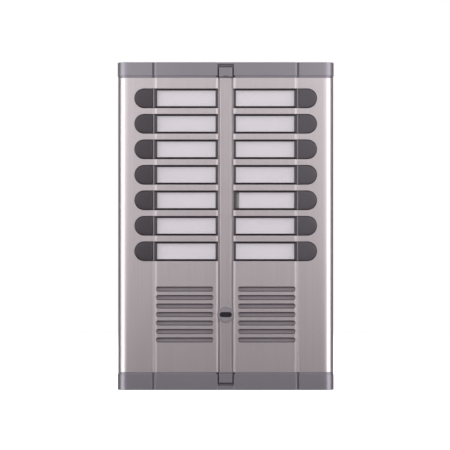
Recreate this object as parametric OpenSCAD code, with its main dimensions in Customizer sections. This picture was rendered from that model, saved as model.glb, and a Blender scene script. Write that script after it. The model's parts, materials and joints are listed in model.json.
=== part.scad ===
// Door intercom panel for a wall: two aluminium front profiles joined by a centre strip,
// fourteen call keys beside lit name windows, a loudspeaker and a microphone behind louvres,
// and a moulded box behind it all that screws to the wall.
//
// Origin: centre of the back, on the wall. X is across, Z is up and the front faces -Y.
// "Lift" in the comments is the distance out from the wall.

/* [Overall] */
// Width over the end caps
panel_w = 180; // [172:0.5:240]
// Height over the end caps
panel_h = 272.5; // [266:0.5:340]
// Lift of the raised middle of the front
front_lift = 34; // [34:0.2:42]
// Drop from the raised middle to the outer part of the front
step_drop = 0.4; // [0.2:0.1:1.6]

/* [Front profiles] */
// Wall of the aluminium profile
profile_wall = 2; // [1.6:0.1:2.6]
// Radius along the outer edges of the front
edge_r = 8.8; // [5:0.1:9.5]
// Half width of the raised middle
raised_half_w = 57.3; // [56:0.1:58.5]
// Width of the two chamfers
chamfer_w = 1.6; // [1:0.1:2]
// Gap between the profile's foot and the flange of the box
foot_gap = 0.3; // [0.2:0.1:1]

/* [Centre strip] */
// Width of the centre strip
strip_w = 9.6; // [8:0.1:10]
// Thickness of the centre strip
strip_t = 1.6; // [1.2:0.1:2]
// Groove on each side of the strip
strip_groove = 1.7; // [1:0.1:2]
// How far the strip lies below the raised middle
strip_drop = 1.2; // [0.6:0.1:1.4]
// Diameter of the round badge
badge_d = 13.5; // [12:0.5:15.5]

/* [Call keys and windows] */
// Number of keys in a column
rows = 7; // [4:1:7]
// Height of a cut-out for a key and its window
cutout_h = 16.3; // [13:0.1:16.6]
// Metal left between two cut-outs
row_gap = 4.9; // [4.4:0.1:5.5]
// Metal between the top cap and the first cut-out
top_margin = 9; // [6:0.5:12]
// Length of a name window
window_l = 53.7; // [52:0.1:54.5]
// Length of a key, from its flat side to the tip of its round end
key_l = 14.85; // [13:0.05:16]
// Travel of a key
key_travel = 1.2; // [0.8:0.1:1.6]
// Radius of a key's stem
stem_r = 2.2; // [1.8:0.1:2.7]
// Gap around everything that slides
slide_gap = 0.3; // [0.25:0.05:0.4]
// Gap around a window in its cut-out
window_gap = 0.2; // [0.1:0.05:0.3]
// Length of a name card
card_l = 48.8; // [46:0.1:49.5]
// Height of a name card
card_h = 13.4; // [10.6:0.1:13.6]
// How far the one loose card has slid in its window
loose_card_slide = 3; // [0:0.1:3]

/* [Louvres] */
// Slots on each side
slots = 7; // [3:1:7]
// Height of a slot
slot_h = 4.2; // [3:0.1:4.6]
// Length of a slot
slot_l = 47.8; // [40:0.1:48]
// From one slot to the next
slot_pitch = 7.05; // [6:0.05:7.4]
// From the bottom cap to the middle of the lowest slot
louvre_rise = 26.8; // [24:0.1:40]

/* [End caps] */
// Height of the top cap
top_cap_h = 12.9; // [12.5:0.1:16]
// Height of the bottom cap
bottom_cap_h = 14.7; // [12.5:0.1:18]
// How far a cap stands out past the profile
cap_proud = 0.4; // [0.2:0.1:0.8]
// Wall of a cap
cap_wall = 2.4; // [2:0.1:3]
// Width of a screw cover
cover_w = 11.2; // [10:0.1:12]
// Height of a screw cover
cover_h = 7.95; // [7.6:0.05:8.2]

/* [Box and boards] */
// Thickness of the box's floor
floor_t = 3; // [2.4:0.1:3.4]
// Height of the box's walls above the floor
box_wall_h = 11; // [8:0.5:11.5]
// Thickness of the box's walls
box_wall_t = 2.5; // [1.8:0.1:2.6]
// Lift of the boards' backs
board_lift = 14; // [12:0.1:14.4]
// Thickness of a circuit board
board_t = 1.6; // [1.2:0.1:2]
// Across between the wall screws
wall_hole_x = 120; // [60:1:140]
// Up between the wall screws
wall_hole_z = 246; // [200:1:248]
// Radius of a wall screw hole
wall_hole_r = 2.6; // [2:0.1:3.2]
// Radius of the cable entry
cable_r = 6; // [4:0.5:7]

/* [Speech unit] */
// Radius of the loudspeaker's rim
speaker_r = 22.5; // [20:0.5:22.5]
// Radius of the microphone
microphone_r = 4.85; // [3:0.05:5]

/* [Screws] */
// Radius of a self-tapping screw's core
tapping_r = 1.25; // [1:0.05:1.4]
// Radius of a self-tapping screw's head
tapping_head_r = 2.8; // [2.4:0.1:3]
// Radius of a closing screw's shank
closing_r = 1.9; // [1.5:0.1:2]
// Radius of a closing screw's head
closing_head_r = 3.6; // [3:0.1:3.8]

/* [Hidden] */
LEFT = -1;
RIGHT = 1;
SIDES = [["left", LEFT], ["right", RIGHT]];

// Play between a screw and the hole that it bites into, and room for one that it passes through
thread_play = 0.05;
screw_room = 0.35;
head_h = 2;
// Overlap that makes a joint complete, and how far a cut runs past what it cuts
bit = 0.1;
past = 1;
curve = 64;

// The caps and the length of profile between them
top_z = panel_h / 2;
bottom_z = -panel_h / 2;
profile_top = top_z - top_cap_h;
profile_bottom = bottom_z + bottom_cap_h;
profile_half_w = panel_w / 2 - cap_proud;
outer_lift = front_lift - step_drop;
foot_lift = floor_t + foot_gap;

// The groove in the middle, and the ledges under the strip
groove_x = strip_w / 2 + strip_groove;
strip_lift = front_lift - strip_drop;
ledge_lift = strip_lift - strip_t;
ledge_t = 1.6;
ledge_x = 1.2;
strip_bevel = 0.3;
strip_tongue = 2.4;
chamfer_h = 0.4;
inner_edge_t = 2;
badge_pin_r = ledge_x - 0.2;
badge_rim_t = 0.6;
badge_round = 0.4;

// The fine line outside the step, sunk into the profile and wider over the caps
line_x = raised_half_w + chamfer_w + 1;
line_w = 0.6;
line_depth = 0.4;
cap_line_w = 1.8;
cap_line_x = line_x + (line_w - cap_line_w) / 2;
cap_line_depth = 0.9;

// The cut-outs, which run from the groove to their round outer ends
cutout_r = cutout_h / 2;
cutout_below = 4;
window_x = groove_x + slide_gap;
window_end = window_x + window_l;
key_x = window_end + slide_gap;
key_r = cutout_r - slide_gap;
stem_x = key_x + key_l - key_r;
cutout_end = stem_x + cutout_r;
pitch = cutout_h + row_gap;
first_row_z = profile_top - top_margin - cutout_r;
function row_z(row) = first_row_z - (row - 1) * pitch;

// The stack behind a window, from the front of the profile down to the carrier's plate
raised_inside = front_lift - profile_wall;
outer_inside = outer_lift - profile_wall;
window_face = front_lift - 0.8;
flange_over = 0.85;
window_flange_t = 1.4;
window_base = raised_inside - window_flange_t;
card_pocket = 0.5;
card_t = 0.4;
card_slot_x = window_x + 0.5;
card_slot_l = window_l - 1;
card_slot_h = card_h + 0.3;
card_x = window_x + 1.4;
window_flange_x = window_x + 3.2;
light_x = window_x + 3;
light_l = window_l - 7.7;
light_h = card_h - 1.9;
lamp_box_x = window_x + slide_gap;
lamp_box_l = window_l - 2 * slide_gap;
lamp_box_h = cutout_h - 0.8;

// The key, its stem and its switch, from front to back
key_bevel = 1.1;
key_wall = 1.6;
key_roof = 1.8;
key_lift = front_lift;
key_flange_lift = outer_inside - slide_gap - 0.2;
key_flange_t = 1.2;
key_base = key_flange_lift - key_flange_t;
board_top = board_lift + board_t;
switch_w = 6;
switch_h = 3.5;
plunger_r = 1.75;
plunger_h = 1;
plunger_lift = board_top + switch_h + plunger_h;
touch_gap = 0.05;
stem_base = plunger_lift + key_travel + touch_gap;

// The carrier: a plate that rests on lips inside the profile
carrier_t = 2;
carrier_lift = stem_base + 0.65;
carrier_top = carrier_lift + carrier_t;
lip_t = 1.2;
lip_w = 1.6;
rib_t = 1.4;
inner_rib_x = groove_x - 1.9;
outer_rib_x = cutout_end + flange_over + 1.85;
carrier_x0 = inner_rib_x + rib_t + slide_gap;
carrier_x1 = outer_rib_x - slide_gap;
carrier_top_z = row_z(1) + pitch / 2;
carrier_bottom_z = row_z(rows) - pitch / 2;
guide_wall = 1.6;
guide_past = 0.8;
spring_gap = 0.5;
spring_wall = 0.6;

// Screw ports, two in each profile, that take the caps' screws
port_bore_r = tapping_r + thread_play;
port_wall = 1.5;
edge_port_r = port_bore_r + port_wall + 0.6;
edge_port = [profile_half_w - profile_wall - edge_port_r + 0.5, front_lift - 13.8];
inner_port_r = port_bore_r + port_wall - 0.4;
inner_port = [groove_x + 3.1, carrier_lift - lip_t - inner_port_r + 0.3];

// The louvres, and what lies behind them
slot_x = raised_half_w + 0.7 - slot_l / 2;
slot_corner_r = 0.45 * slot_h;
louvre_low_z = profile_bottom + louvre_rise;
louvre_z = louvre_low_z + (slots - 1) * slot_pitch / 2;
mesh_t = 0.6;
mesh_lift = outer_inside - mesh_t;
speaker_rim_t = 1.8;
speaker_rim_lift = mesh_lift - 0.2 - speaker_rim_t;
speaker_wall = 0.8;
basket_r = speaker_r - 3.3;
cradle_wall = 1.8;
cradle_gap = 0.2;
basket_depth = 9.4;
magnet_r = 12;
magnet_t = 6;
basket_hole_r = 5;
pole_r = 4;
pole_h = 2.4;
cone_r = 6;
cone_t = 0.5;
cone_depth = 5.2;
surround_w = 2.4;
surround_t = 0.4;
dust_cap_r = 6.9;
dust_cap_drop = 8;
boot_wall = 2.2;
boot_hole_r = 2;
microphone_base = mesh_lift - 8;
microphone_front = mesh_lift - 1.3;
mesh_x0 = groove_x + 2.5;
mesh_x1 = outer_rib_x - 15.6;
mesh_half_h = slots * slot_pitch / 2 + 2;

// The caps' wells, which hold the closing screws under their covers
well_w = cover_w + 2.6;
cover_gap = 0.2;
cover_start = 0.8;
well_start = cover_start - cover_gap;
well_end = cover_start + cover_h + 2.6;
middle_lift = front_lift - 0.4;
trench_depth = 1.3;
nick_x = groove_x - 0.4;
nick_w = 1.8;
nick_h = 1.8;
nick_depth = 2;
well_floor_lift = front_lift - 8;
well_wall = 2;
closing_at = cover_start + cover_h / 2;
cap_end_wall = 2.5;
cap_counterbore_floor = 2.4;
sleeve_wall = 1;
tongue_l = 6;
tongue_t = 2;
rebate_h = 1.5;
head_room = 0.2;
closing_head_h = 2.4;
closing_l = 16;
closing_core_r = closing_r - 0.3;
post_r = 4.2;

// The box
box_half_w = panel_w / 2 - cap_wall - 0.7;
box_top_z = top_z - cap_end_wall - 0.75;
box_bottom_z = bottom_z + cap_end_wall + 0.75;
box_lift = floor_t + box_wall_h;
flange_in = 1;
boss_h = 1.5;
boss_wall = 3;
wire_notch_half = 3;
gasket_t = 1.6;
gasket_w = 3;
gasket_in = 2.5;
cable_z = louvre_z + 29.6;
grommet_wall = 3;
grommet_flange_r = cable_r + grommet_wall + 2.5;
grommet_flange_t = 2;

// The boards
key_board_x0 = inner_port[0] + inner_port_r + 2;
key_board_x1 = outer_rib_x + 1;
key_board_top = carrier_top_z + 1.2;
key_board_bottom = carrier_bottom_z - 12.4;
audio_board_top = louvre_z + 23.6;
audio_board_bottom = louvre_z - 44.4;
pillar_in = 4;
pillar_r = 3.2;
screw_l = 10;
lamp_size = [3.2, 1.6, 2.6];
terminal_size = [34, 9.6, 8];
trimmer_x = [key_board_x1 - 22, key_board_x1 - 10];
trimmer_z = audio_board_bottom + 13;
trimmer_base_w = 8;
trimmer_base_h = 3.6;
trimmer_bore_r = 1.3;
trimmer_r = 3;
trimmer_rotor_h = 1.8;
trimmer_slot_w = 0.9;

// ---- Helpers ----

// A flat shape in X and Z, standing out from the wall between two lifts
module stand(low, high) {
    translate([0, -low, 0]) rotate([90, 0, 0]) linear_extrude(high - low) children();
}

// A cross-section in X and lift, run up between two heights
module run(z0, z1) {
    translate([0, 0, z0]) linear_extrude(z1 - z0) mirror([0, 1, 0]) children();
}

// A cross-section in Z and lift, run across between two places
module run_across(x0, x1) {
    translate([x0, 0, 0]) rotate([90, 0, 90]) linear_extrude(x1 - x0) rotate(90) children();
}

// A profile in radius and lift, turned about an axis that points out from the wall
module turn_out(degrees = 360) {
    rotate([90, 0, 0]) rotate_extrude(angle = degrees, $fn = curve) children();
}

module on_side(side) {
    if (side < 0) mirror([1, 0, 0]) children();
    else children();
}

module at(x, z) {
    translate([x, 0, z]) children();
}

module rect(x0, x1, y0, y1) {
    translate([x0, y0]) square([x1 - x0, y1 - y0]);
}

module ring(outer, inner) {
    difference() {
        circle(outer, $fn = curve);
        circle(inner, $fn = curve);
    }
}

module rounded_rect(w, h, r) {
    square([w - 2 * r, h], center = true);
    square([w, h - 2 * r], center = true);
    for (x = [-1, 1], y = [-1, 1])
        translate([x * (w / 2 - r), y * (h / 2 - r)]) circle(r, $fn = curve);
}

// ---- Front profiles ----

// The whole outline of the front in X and lift, grown outward by a margin
module front_outline(grow) {
    half = profile_half_w + grow;
    r = edge_r + grow;
    low = outer_lift + grow;
    high = front_lift + grow;
    step = raised_half_w + grow;
    polygon([[-half + r, 0], [half - r, 0], [half - r, low], [step + chamfer_w, low],
             [step, high], [-step, high], [-step - chamfer_w, low], [-half + r, low]]);
    rect(-half, half, 0, low - r);
    for (side = [LEFT, RIGHT])
        translate([side * (half - r), low - r]) circle(r, $fn = curve);
}

// One aluminium profile in X and lift: a stepped face, a round edge and a side wall
module profile_section() {
    difference() {
        union() {
            difference() {
                front_outline(0);
                front_outline(-profile_wall);
                rect(-panel_w, groove_x, 0, 2 * front_lift);
                rect(-panel_w, panel_w, -bit, foot_lift);
            }
            // inner edge, ledge under the strip, and the rib with the carrier's lip
            rect(groove_x, groove_x + inner_edge_t, ledge_lift - ledge_t, front_lift - chamfer_h);
            rect(ledge_x, groove_x + inner_edge_t, ledge_lift - ledge_t, ledge_lift);
            rect(inner_rib_x, inner_rib_x + rib_t, carrier_lift - lip_t, ledge_lift - bit);
            rect(inner_rib_x, inner_port[0], carrier_lift - lip_t, carrier_lift);
            translate(inner_port) circle(inner_port_r, $fn = curve);
            // outer rib with its lip, and the screw port in the corner
            rect(outer_rib_x, outer_rib_x + rib_t, carrier_lift - lip_t, outer_inside + bit);
            rect(outer_rib_x - lip_w, outer_rib_x + bit, carrier_lift - lip_t, carrier_lift);
            translate(edge_port) circle(edge_port_r, $fn = curve);
        }
        // chamfer beside the strip, and a fine line outside the step
        polygon([[groove_x - bit, front_lift - chamfer_h],
                 [groove_x, front_lift - chamfer_h],
                 [groove_x + chamfer_w, front_lift],
                 [groove_x + chamfer_w, front_lift + bit],
                 [groove_x - bit, front_lift + bit]]);
        rect(line_x, line_x + line_w, outer_lift - line_depth, outer_lift + bit);
        for (port = [inner_port, edge_port])
            translate(port) circle(port_bore_r, $fn = curve);
    }
}

// A straight stretch from x0 to a round end about the key's stem, in X and Z
module round_ended(x0, r) {
    rect(x0, stem_x, -r, r);
    intersection() {
        translate([stem_x, 0]) circle(r, $fn = curve);
        rect(stem_x - bit, stem_x + r + bit, -r - bit, r + bit);
    }
}

module front_profile(side) {
    color("silver") on_side(side) difference() {
        run(profile_bottom, profile_top) profile_section();
        for (row = [1:rows])
            at(0, row_z(row)) stand(window_base - cutout_below, front_lift + past)
                round_ended(groove_x, cutout_r);
        for (slot = [0:slots - 1])
            at(slot_x, louvre_low_z + slot * slot_pitch)
                stand(outer_inside - past, front_lift + past)
                    rounded_rect(slot_l, slot_h, slot_corner_r);
        // room for the badge
        at(0, louvre_z) stand(strip_lift, front_lift + past)
            circle(badge_d / 2 + slide_gap, $fn = curve);
    }
}

module centre_strip() {
    color("silver") difference() {
        run(profile_bottom, profile_top) {
            polygon([[-strip_w / 2, ledge_lift], [strip_w / 2, ledge_lift],
                     [strip_w / 2, strip_lift - strip_bevel],
                     [strip_w / 2 - strip_bevel, strip_lift],
                     [-strip_w / 2 + strip_bevel, strip_lift],
                     [-strip_w / 2, strip_lift - strip_bevel]]);
            // tongue between the two ledges
            rect(-ledge_x + slide_gap, ledge_x - slide_gap,
                 ledge_lift - strip_tongue, ledge_lift + bit);
        }
        at(0, louvre_z) stand(ledge_lift - strip_tongue - past, front_lift)
            circle(badge_pin_r + 0.1, $fn = curve);
    }
}

module badge() {
    r = badge_d / 2;
    color("gray") at(0, louvre_z) turn_out() {
        rect(0, r, strip_lift, strip_lift + badge_rim_t);
        rect(0, r - badge_round, strip_lift, strip_lift + badge_rim_t + badge_round);
        translate([r - badge_round, strip_lift + badge_rim_t])
            circle(badge_round, $fn = curve);
        rect(0, badge_pin_r, ledge_lift - 1.6, strip_lift + bit);
    }
}

// ---- Keys ----

// Half of a key's section, in radius and lift, with a rounded front edge
module key_half_section(r, base, top, bevel) {
    rect(0, r, base, top - bevel);
    rect(0, r - bevel, base, top);
    translate([r - bevel, top - bevel]) circle(bevel, $fn = curve);
}

// A key's shape: a round end and a straight stretch back to its flat side
module key_shape(r, x0, base, top, bevel) {
    at(stem_x, 0) rotate([0, 90, 0]) turn_out(180) key_half_section(r, base, top, bevel);
    run_across(x0, stem_x) {
        key_half_section(r, base, top, bevel);
        mirror([1, 0, 0]) key_half_section(r, base, top, bevel);
    }
}

module key(side, row) {
    low = -pitch / 2;
    color("dimgray") on_side(side) at(0, row_z(row)) {
        difference() {
            union() {
                key_shape(key_r, key_x, key_base, key_lift, key_bevel);
                stand(key_base, key_flange_lift) round_ended(key_x, key_r + flange_over);
            }
            // the key is hollow behind
            stand(key_base - past, key_lift - key_roof)
                round_ended(key_x + key_wall, key_r - key_wall);
            // the front edge of the flat side is rounded like the rest
            run(low, -low) difference() {
                rect(key_x - past, key_x + key_bevel, key_lift - key_bevel, key_lift + past);
                translate([key_x + key_bevel, key_lift - key_bevel])
                    circle(key_bevel, $fn = curve);
            }
        }
        at(stem_x, 0) stand(stem_base, key_lift - key_roof + bit) circle(stem_r, $fn = curve);
    }
}

module return_springs() {
    color("lightgray") for (side = [LEFT, RIGHT], row = [1:rows])
        on_side(side) at(stem_x, row_z(row)) stand(carrier_top, key_lift - key_roof)
            ring(stem_r + spring_gap + spring_wall, stem_r + spring_gap);
}

// ---- Name windows ----

module window(side, row) {
    color("lightyellow") on_side(side) at(0, row_z(row)) difference() {
        union() {
            stand(window_base, window_face)
                rect(window_x, window_end, -cutout_r + window_gap, cutout_r - window_gap);
            // the flange that the profile holds down
            stand(window_base, raised_inside)
                rect(window_flange_x, raised_half_w - profile_wall - slide_gap,
                     -cutout_r - flange_over, cutout_r + flange_over);
        }
        stand(window_base - past, window_base + card_pocket)
            rect(card_slot_x, card_slot_x + card_slot_l,
                 -card_slot_h / 2, card_slot_h / 2);
    }
}

function card_slide(side, row) = side == RIGHT && row == 5 ? loose_card_slide : 0;

module name_cards() {
    color("white") for (side = [LEFT, RIGHT], row = [1:rows])
        on_side(side) at(card_x + card_slide(side, row), row_z(row))
            stand(window_base, window_base + card_t) rect(0, card_l, -card_h / 2, card_h / 2);
}

// ---- Carriers, boards and what is on them ----

module key_carrier(side) {
    color([0.13, 0.12, 0.14]) on_side(side) difference() {
        union() {
            stand(carrier_lift, carrier_top)
                rect(carrier_x0, carrier_x1, carrier_bottom_z, carrier_top_z);
            for (row = [1:rows]) {
                at(lamp_box_x, row_z(row)) stand(carrier_top - bit, window_base)
                    rect(0, lamp_box_l, -lamp_box_h / 2, lamp_box_h / 2);
                at(stem_x, row_z(row)) stand(stem_base - guide_past, carrier_lift + bit)
                    circle(stem_r + slide_gap + guide_wall, $fn = curve);
            }
        }
        for (row = [1:rows]) {
            at(light_x, row_z(row)) stand(carrier_lift - past, window_base + past)
                rect(0, light_l, -light_h / 2, light_h / 2);
            at(stem_x, row_z(row)) stand(stem_base - past, carrier_top + past)
                circle(stem_r + slide_gap, $fn = curve);
        }
    }
}

// The four corners of a board where its screws go
function board_corners(x0, x1, z0, z1) =
    [for (x = [x0 + pillar_in, x1 - pillar_in], z = [z0 + pillar_in, z1 - pillar_in]) [x, z]];
key_board_screws = board_corners(key_board_x0, key_board_x1, key_board_bottom, key_board_top);
audio_board_screws =
    board_corners(key_board_x0, key_board_x1, audio_board_bottom, audio_board_top);
board_screw_places = concat(
    [for (side = [LEFT, RIGHT], place = key_board_screws) [side * place[0], place[1]]],
    audio_board_screws);

module board(x0, x1, z0, z1, screws) {
    stand(board_lift, board_top) difference() {
        rect(x0, x1, z0, z1);
        for (place = screws)
            translate(place) circle(tapping_r + screw_room, $fn = curve);
    }
}

module key_board(side) {
    color("darkgreen") on_side(side)
        board(key_board_x0, key_board_x1, key_board_bottom, key_board_top, key_board_screws);
}

module audio_board() {
    color("darkgreen") board(key_board_x0, key_board_x1, audio_board_bottom,
                             audio_board_top, audio_board_screws);
}

module key_switches() {
    color("black") for (side = [LEFT, RIGHT], row = [1:rows])
        on_side(side) at(stem_x, row_z(row)) {
            stand(board_top, board_top + switch_h) square(switch_w, center = true);
            stand(board_top + switch_h - bit, plunger_lift) circle(plunger_r, $fn = curve);
        }
}

module card_lamps() {
    color("ivory") for (side = [LEFT, RIGHT], row = [1:rows], share = [0.25, 0.75])
        on_side(side) at(light_x + share * light_l, row_z(row))
            stand(board_top, board_top + lamp_size[1])
                square([lamp_size[0], lamp_size[2]], center = true);
}

module terminal_block() {
    poles = 6;
    screw_hole_r = 1.9;
    mouth = [3.2, 5.6];
    step = terminal_size[0] / poles;
    difference() {
        stand(board_top, board_top + terminal_size[1])
            square([terminal_size[0], terminal_size[2]], center = true);
        for (pole = [0:poles - 1]) {
            x = (pole + 0.5) * step - terminal_size[0] / 2;
            at(x, 0.8) stand(board_top + 4, board_top + terminal_size[1] + past)
                circle(screw_hole_r, $fn = curve);
            at(x, -terminal_size[2] / 2 - past)
                stand(board_top + 1.2, board_top + 4.6) square(mouth, center = true);
        }
    }
}

module terminal_blocks() {
    middle = (key_board_x0 + key_board_x1) / 2;
    color("seagreen") {
        for (side = [LEFT, RIGHT])
            at(side * middle, key_board_bottom + 5) terminal_block();
        at(middle, audio_board_top - 5) terminal_block();
    }
}

// ---- Speech unit ----

module at_speaker() {
    at(-slot_x, louvre_z) children();
}

module speaker_basket() {
    base = speaker_rim_lift + speaker_rim_t - basket_depth;
    color("dimgray") at_speaker() {
        stand(speaker_rim_lift, speaker_rim_lift + speaker_rim_t)
            ring(speaker_r, basket_r - speaker_wall);
        stand(base, speaker_rim_lift + bit) ring(basket_r, basket_r - speaker_wall);
        stand(base, base + speaker_wall) ring(basket_r, basket_hole_r);
    }
}

module speaker_magnet() {
    top = speaker_rim_lift + speaker_rim_t - basket_depth;
    color("darkgray") at_speaker() {
        stand(top - magnet_t, top) circle(magnet_r, $fn = curve);
        stand(top - bit, top + pole_h) circle(pole_r, $fn = curve);
    }
}

// A paper cone with a domed dust cap over its middle
module speaker_cone() {
    edge = basket_r - speaker_wall;
    rim = speaker_rim_lift + speaker_rim_t - 0.6;
    color("black") at_speaker() turn_out() {
        polygon([[cone_r, rim - cone_depth], [edge - surround_w, rim - surround_t],
                 [edge, rim - surround_t], [edge, rim],
                 [edge - surround_w - bit, rim], [cone_r, rim - cone_depth + cone_t]]);
        difference() {
            translate([0, rim - dust_cap_drop]) circle(dust_cap_r, $fn = curve);
            translate([0, rim - dust_cap_drop]) circle(dust_cap_r - cone_t, $fn = curve);
            rect(-2 * dust_cap_r, 0, 0, 2 * rim);
            rect(-past, 2 * dust_cap_r, 0, rim - cone_depth);
        }
    }
}

module microphone() {
    color("silver") at(slot_x, louvre_z)
        stand(microphone_base, microphone_front) circle(microphone_r, $fn = curve);
}

module microphone_boot() {
    color("black") at(slot_x, louvre_z) difference() {
        stand(board_top, mesh_lift) circle(microphone_r + boot_wall, $fn = curve);
        stand(microphone_base, mesh_lift + past) circle(microphone_r, $fn = curve);
        stand(board_top - past, microphone_base + bit) circle(boot_hole_r, $fn = curve);
    }
}

module insect_mesh() {
    color("gray") for (side = [LEFT, RIGHT])
        on_side(side) at(0, louvre_z) stand(mesh_lift, outer_inside)
            rect(mesh_x0, mesh_x1, -mesh_half_h, mesh_half_h);
}

module trimmer_bases() {
    color("steelblue") for (x = trimmer_x) at(x, trimmer_z) difference() {
        stand(board_top, board_top + trimmer_base_h) square(trimmer_base_w, center = true);
        stand(board_top + 1, board_top + trimmer_base_h + past)
            circle(trimmer_bore_r, $fn = curve);
    }
}

// The rotor of a trimmer, with a slot for a screwdriver
module volume_rotor(x) {
    low = board_top + trimmer_base_h + slide_gap;
    color("white") at(x, trimmer_z) {
        difference() {
            stand(low, low + trimmer_rotor_h) circle(trimmer_r, $fn = curve);
            stand(low + 0.8, low + trimmer_rotor_h + past)
                square([trimmer_slot_w, 3 * trimmer_r], center = true);
        }
        stand(low - 1.8, low + bit) circle(trimmer_bore_r - slide_gap, $fn = curve);
    }
}

// ---- Screws ----

// A pan-head screw whose head rests at the origin and whose shank points to +Y
module pan_screw(shank_r, shank_l, head_r, height) {
    rim = 0.6 * height;
    crown = height - rim;
    dome_r = head_r - 0.05;
    ball_r = (dome_r * dome_r + crown * crown) / (2 * crown);
    difference() {
        union() {
            stand(-shank_l, bit) circle(shank_r, $fn = curve);
            stand(0, rim) circle(head_r, $fn = curve);
            translate([0, -rim, 0]) turn_out() intersection() {
                translate([0, crown - ball_r]) circle(ball_r, $fn = curve);
                rect(0, head_r, 0, height);
            }
        }
        // cross recess
        for (turn = [0, 90])
            rotate([0, turn, 0]) stand(0.35 * height, height + past)
                square([1.1 * head_r, 0.28 * head_r], center = true);
    }
}

module tapping_screw() {
    pan_screw(tapping_r, screw_l, tapping_head_r, head_h);
}

// The four screws in each cap point along Z
cap_screw_places = [for (side = [LEFT, RIGHT], port = [inner_port, edge_port])
                        [side * port[0], port[1]]];

module tapping_screws() {
    color("lightgray") {
        for (place = board_screw_places)
            translate([place[0], -board_top, place[1]]) tapping_screw();
        for (place = cap_screw_places) {
            translate([place[0], -place[1], profile_top + cap_counterbore_floor])
                rotate([-90, 0, 0]) tapping_screw();
            translate([place[0], -place[1], profile_bottom - cap_counterbore_floor])
                rotate([90, 0, 0]) tapping_screw();
        }
    }
}

module closing_screws() {
    color("lightgray") for (z = [profile_top + closing_at, profile_bottom - closing_at])
        translate([0, -well_floor_lift, z])
            pan_screw(closing_core_r, closing_l, closing_head_r, closing_head_h);
}

// ---- End caps ----

// Two tongues in X and lift, whose fronts stop a little past or short of the profile's inside
module tongues(over) {
    rect(inner_port[0] + 4.4, raised_half_w - 4, raised_inside - tongue_t, raised_inside + over);
    rect(raised_half_w + 4, cutout_end - 1, outer_inside - tongue_t, outer_inside + over);
}

// One cap, drawn with its open side at z = 0 and its closed end up
module end_cap(cap_h) {
    well_half = well_w / 2;
    deep = well_floor_lift - well_wall;
    difference() {
        union() {
            difference() {
                run(0, cap_h) front_outline(cap_proud);
                run(-past, cap_h - cap_end_wall) front_outline(cap_proud - cap_wall);
            }
            run(0, cap_h) rect(-well_half - well_wall, well_half + well_wall,
                               deep, outer_lift);
            for (place = cap_screw_places)
                run(0, cap_h) translate(place)
                    circle(tapping_head_r + head_room + sleeve_wall, $fn = curve);
            // tongues that plug into the profile
            for (side = [LEFT, RIGHT])
                on_side(side) {
                    run(-tongue_l, cap_wall) tongues(-0.1);
                    run(0, cap_wall) tongues(bit);
                }
        }
        run(-tongue_l - past, cap_h + past) rect(-panel_w, panel_w, -past, foot_lift);
        // rebate around the edge that meets the profile
        run(-past, rebate_h) difference() {
            rect(-panel_w, panel_w, 0, 2 * front_lift);
            front_outline(0);
        }
        // the step's dark line runs on over the cap
        for (side = [LEFT, RIGHT])
            on_side(side) {
                run(-past, cap_h + past)
                    rect(cap_line_x, cap_line_x + cap_line_w,
                         outer_lift + cap_proud - cap_line_depth, front_lift + past);
                // nick in the cap's edge where the groove beside the strip ends
                stand(middle_lift - nick_depth, front_lift + past)
                    rect(nick_x, nick_x + nick_w, -past, nick_h);
            }
        // the middle lies level with the profile, with a trench around the screw's cover
        stand(middle_lift, front_lift + past)
            rect(-well_half, well_half, -past, cap_h + past);
        stand(middle_lift - trench_depth, front_lift + past)
            rect(-well_half, well_half, well_start, well_end);
        stand(well_floor_lift, front_lift + past)
            rect(-cover_w / 2 - cover_gap, cover_w / 2 + cover_gap,
                 well_start, cover_start + cover_h + cover_gap);
        at(0, closing_at) stand(0, front_lift) circle(closing_r + head_room, $fn = curve);
        for (place = cap_screw_places) {
            run(cap_counterbore_floor, cap_h + past) translate(place)
                circle(tapping_head_r + head_room, $fn = curve);
            run(-past, cap_h) translate(place) circle(tapping_r + screw_room, $fn = curve);
        }
    }
}

module top_end_cap() {
    color("slategray") at(0, profile_top) end_cap(top_cap_h);
}

module bottom_end_cap() {
    color("slategray") at(0, profile_bottom) mirror([0, 0, 1]) end_cap(bottom_cap_h);
}

// A cover that snaps over the closing screw, with a notch for a fingernail
module screw_cover() {
    half = cover_w / 2;
    leg = 0.8;
    leg_in = 1.4;
    cover_t = 2;
    notch_half = 2;
    notch = 0.8;
    difference() {
        union() {
            stand(front_lift - cover_t, front_lift)
                rect(-half, half, cover_start, cover_start + cover_h);
            for (side = [LEFT, RIGHT])
                on_side(side)
                    stand(well_floor_lift + closing_head_h + 0.6, front_lift - cover_t + bit)
                        rect(half - leg, half,
                             cover_start + leg_in, cover_start + cover_h - leg_in);
        }
        stand(front_lift - notch, front_lift + past)
            rect(-notch_half, notch_half, 0, cover_start + notch);
    }
}

module top_screw_cover() {
    color("slategray") at(0, profile_top) screw_cover();
}

module bottom_screw_cover() {
    color("slategray") at(0, profile_bottom) mirror([0, 0, 1]) screw_cover();
}

// ---- Box, gasket and grommet ----

module gasket_outline(margin) {
    difference() {
        rect(-box_half_w + margin, box_half_w - margin,
             box_bottom_z + margin, box_top_z - margin);
        rect(-box_half_w + margin + gasket_w, box_half_w - margin - gasket_w,
             box_bottom_z + margin + gasket_w, box_top_z - margin - gasket_w);
    }
}

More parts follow.
